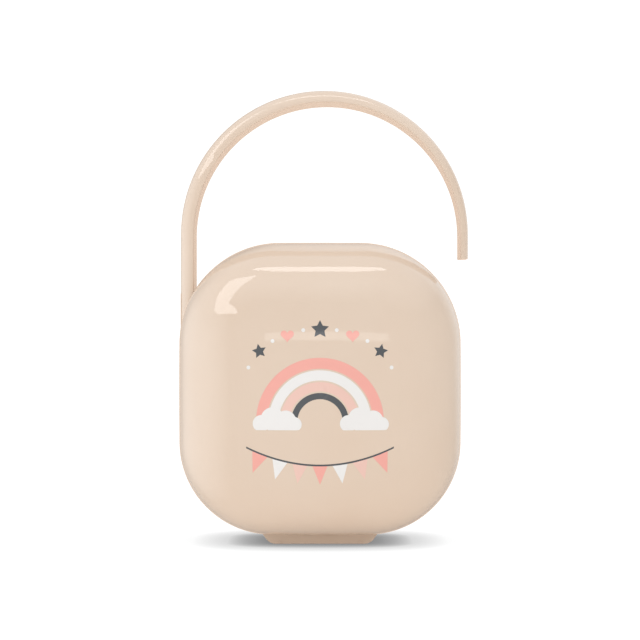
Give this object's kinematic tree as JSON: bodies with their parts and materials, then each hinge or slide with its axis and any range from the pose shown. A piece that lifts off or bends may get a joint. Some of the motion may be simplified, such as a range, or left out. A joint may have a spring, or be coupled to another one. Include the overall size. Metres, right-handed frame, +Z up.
{
  "type": "pacifier case",
  "caption": "Pillow-shaped pacifier case with two hinged covers on a centre ring, a divider inside and an open hook handle to hang it by.",
  "frame": {"origin": "centre of the foot's underside, where the case stands", "axes": "+Z up towards the handle, -Y towards the front cover, +X towards the handle's free tip"},
  "size_m": [0.0774, 0.0626, 0.1214],
  "materials": {
    "cover": "glossy beige moulding",
    "frame": "glossy beige moulding",
    "handle": "glossy beige moulding",
    "divider": "satin off-white moulding",
    "pin": "plain white moulding"
  },
  "bodies": {
    "frame": {"centre_frame": "frame", "carry_handle": "handle", "divider": "divider", "front_left_hinge_pin": "pin", "front_right_hinge_pin": "pin", "rear_left_hinge_pin": "pin", "rear_right_hinge_pin": "pin"},
    "front_cover": {"front_shell": "cover"},
    "rear_cover": {"rear_shell": "cover"}
  },
  "joints": [
    {"name": "front_cover_hinge", "type": "hinge", "parent": "frame", "child": "front_cover", "pos_m": [0, -0.00715, 0.0024], "axis": [1, 0, 0], "range_deg": [0, 110]},
    {"name": "rear_cover_hinge", "type": "hinge", "parent": "frame", "child": "rear_cover", "pos_m": [0, 0.00715, 0.0024], "axis": [-1, 0, 0], "range_deg": [0, 110]}
  ]
}
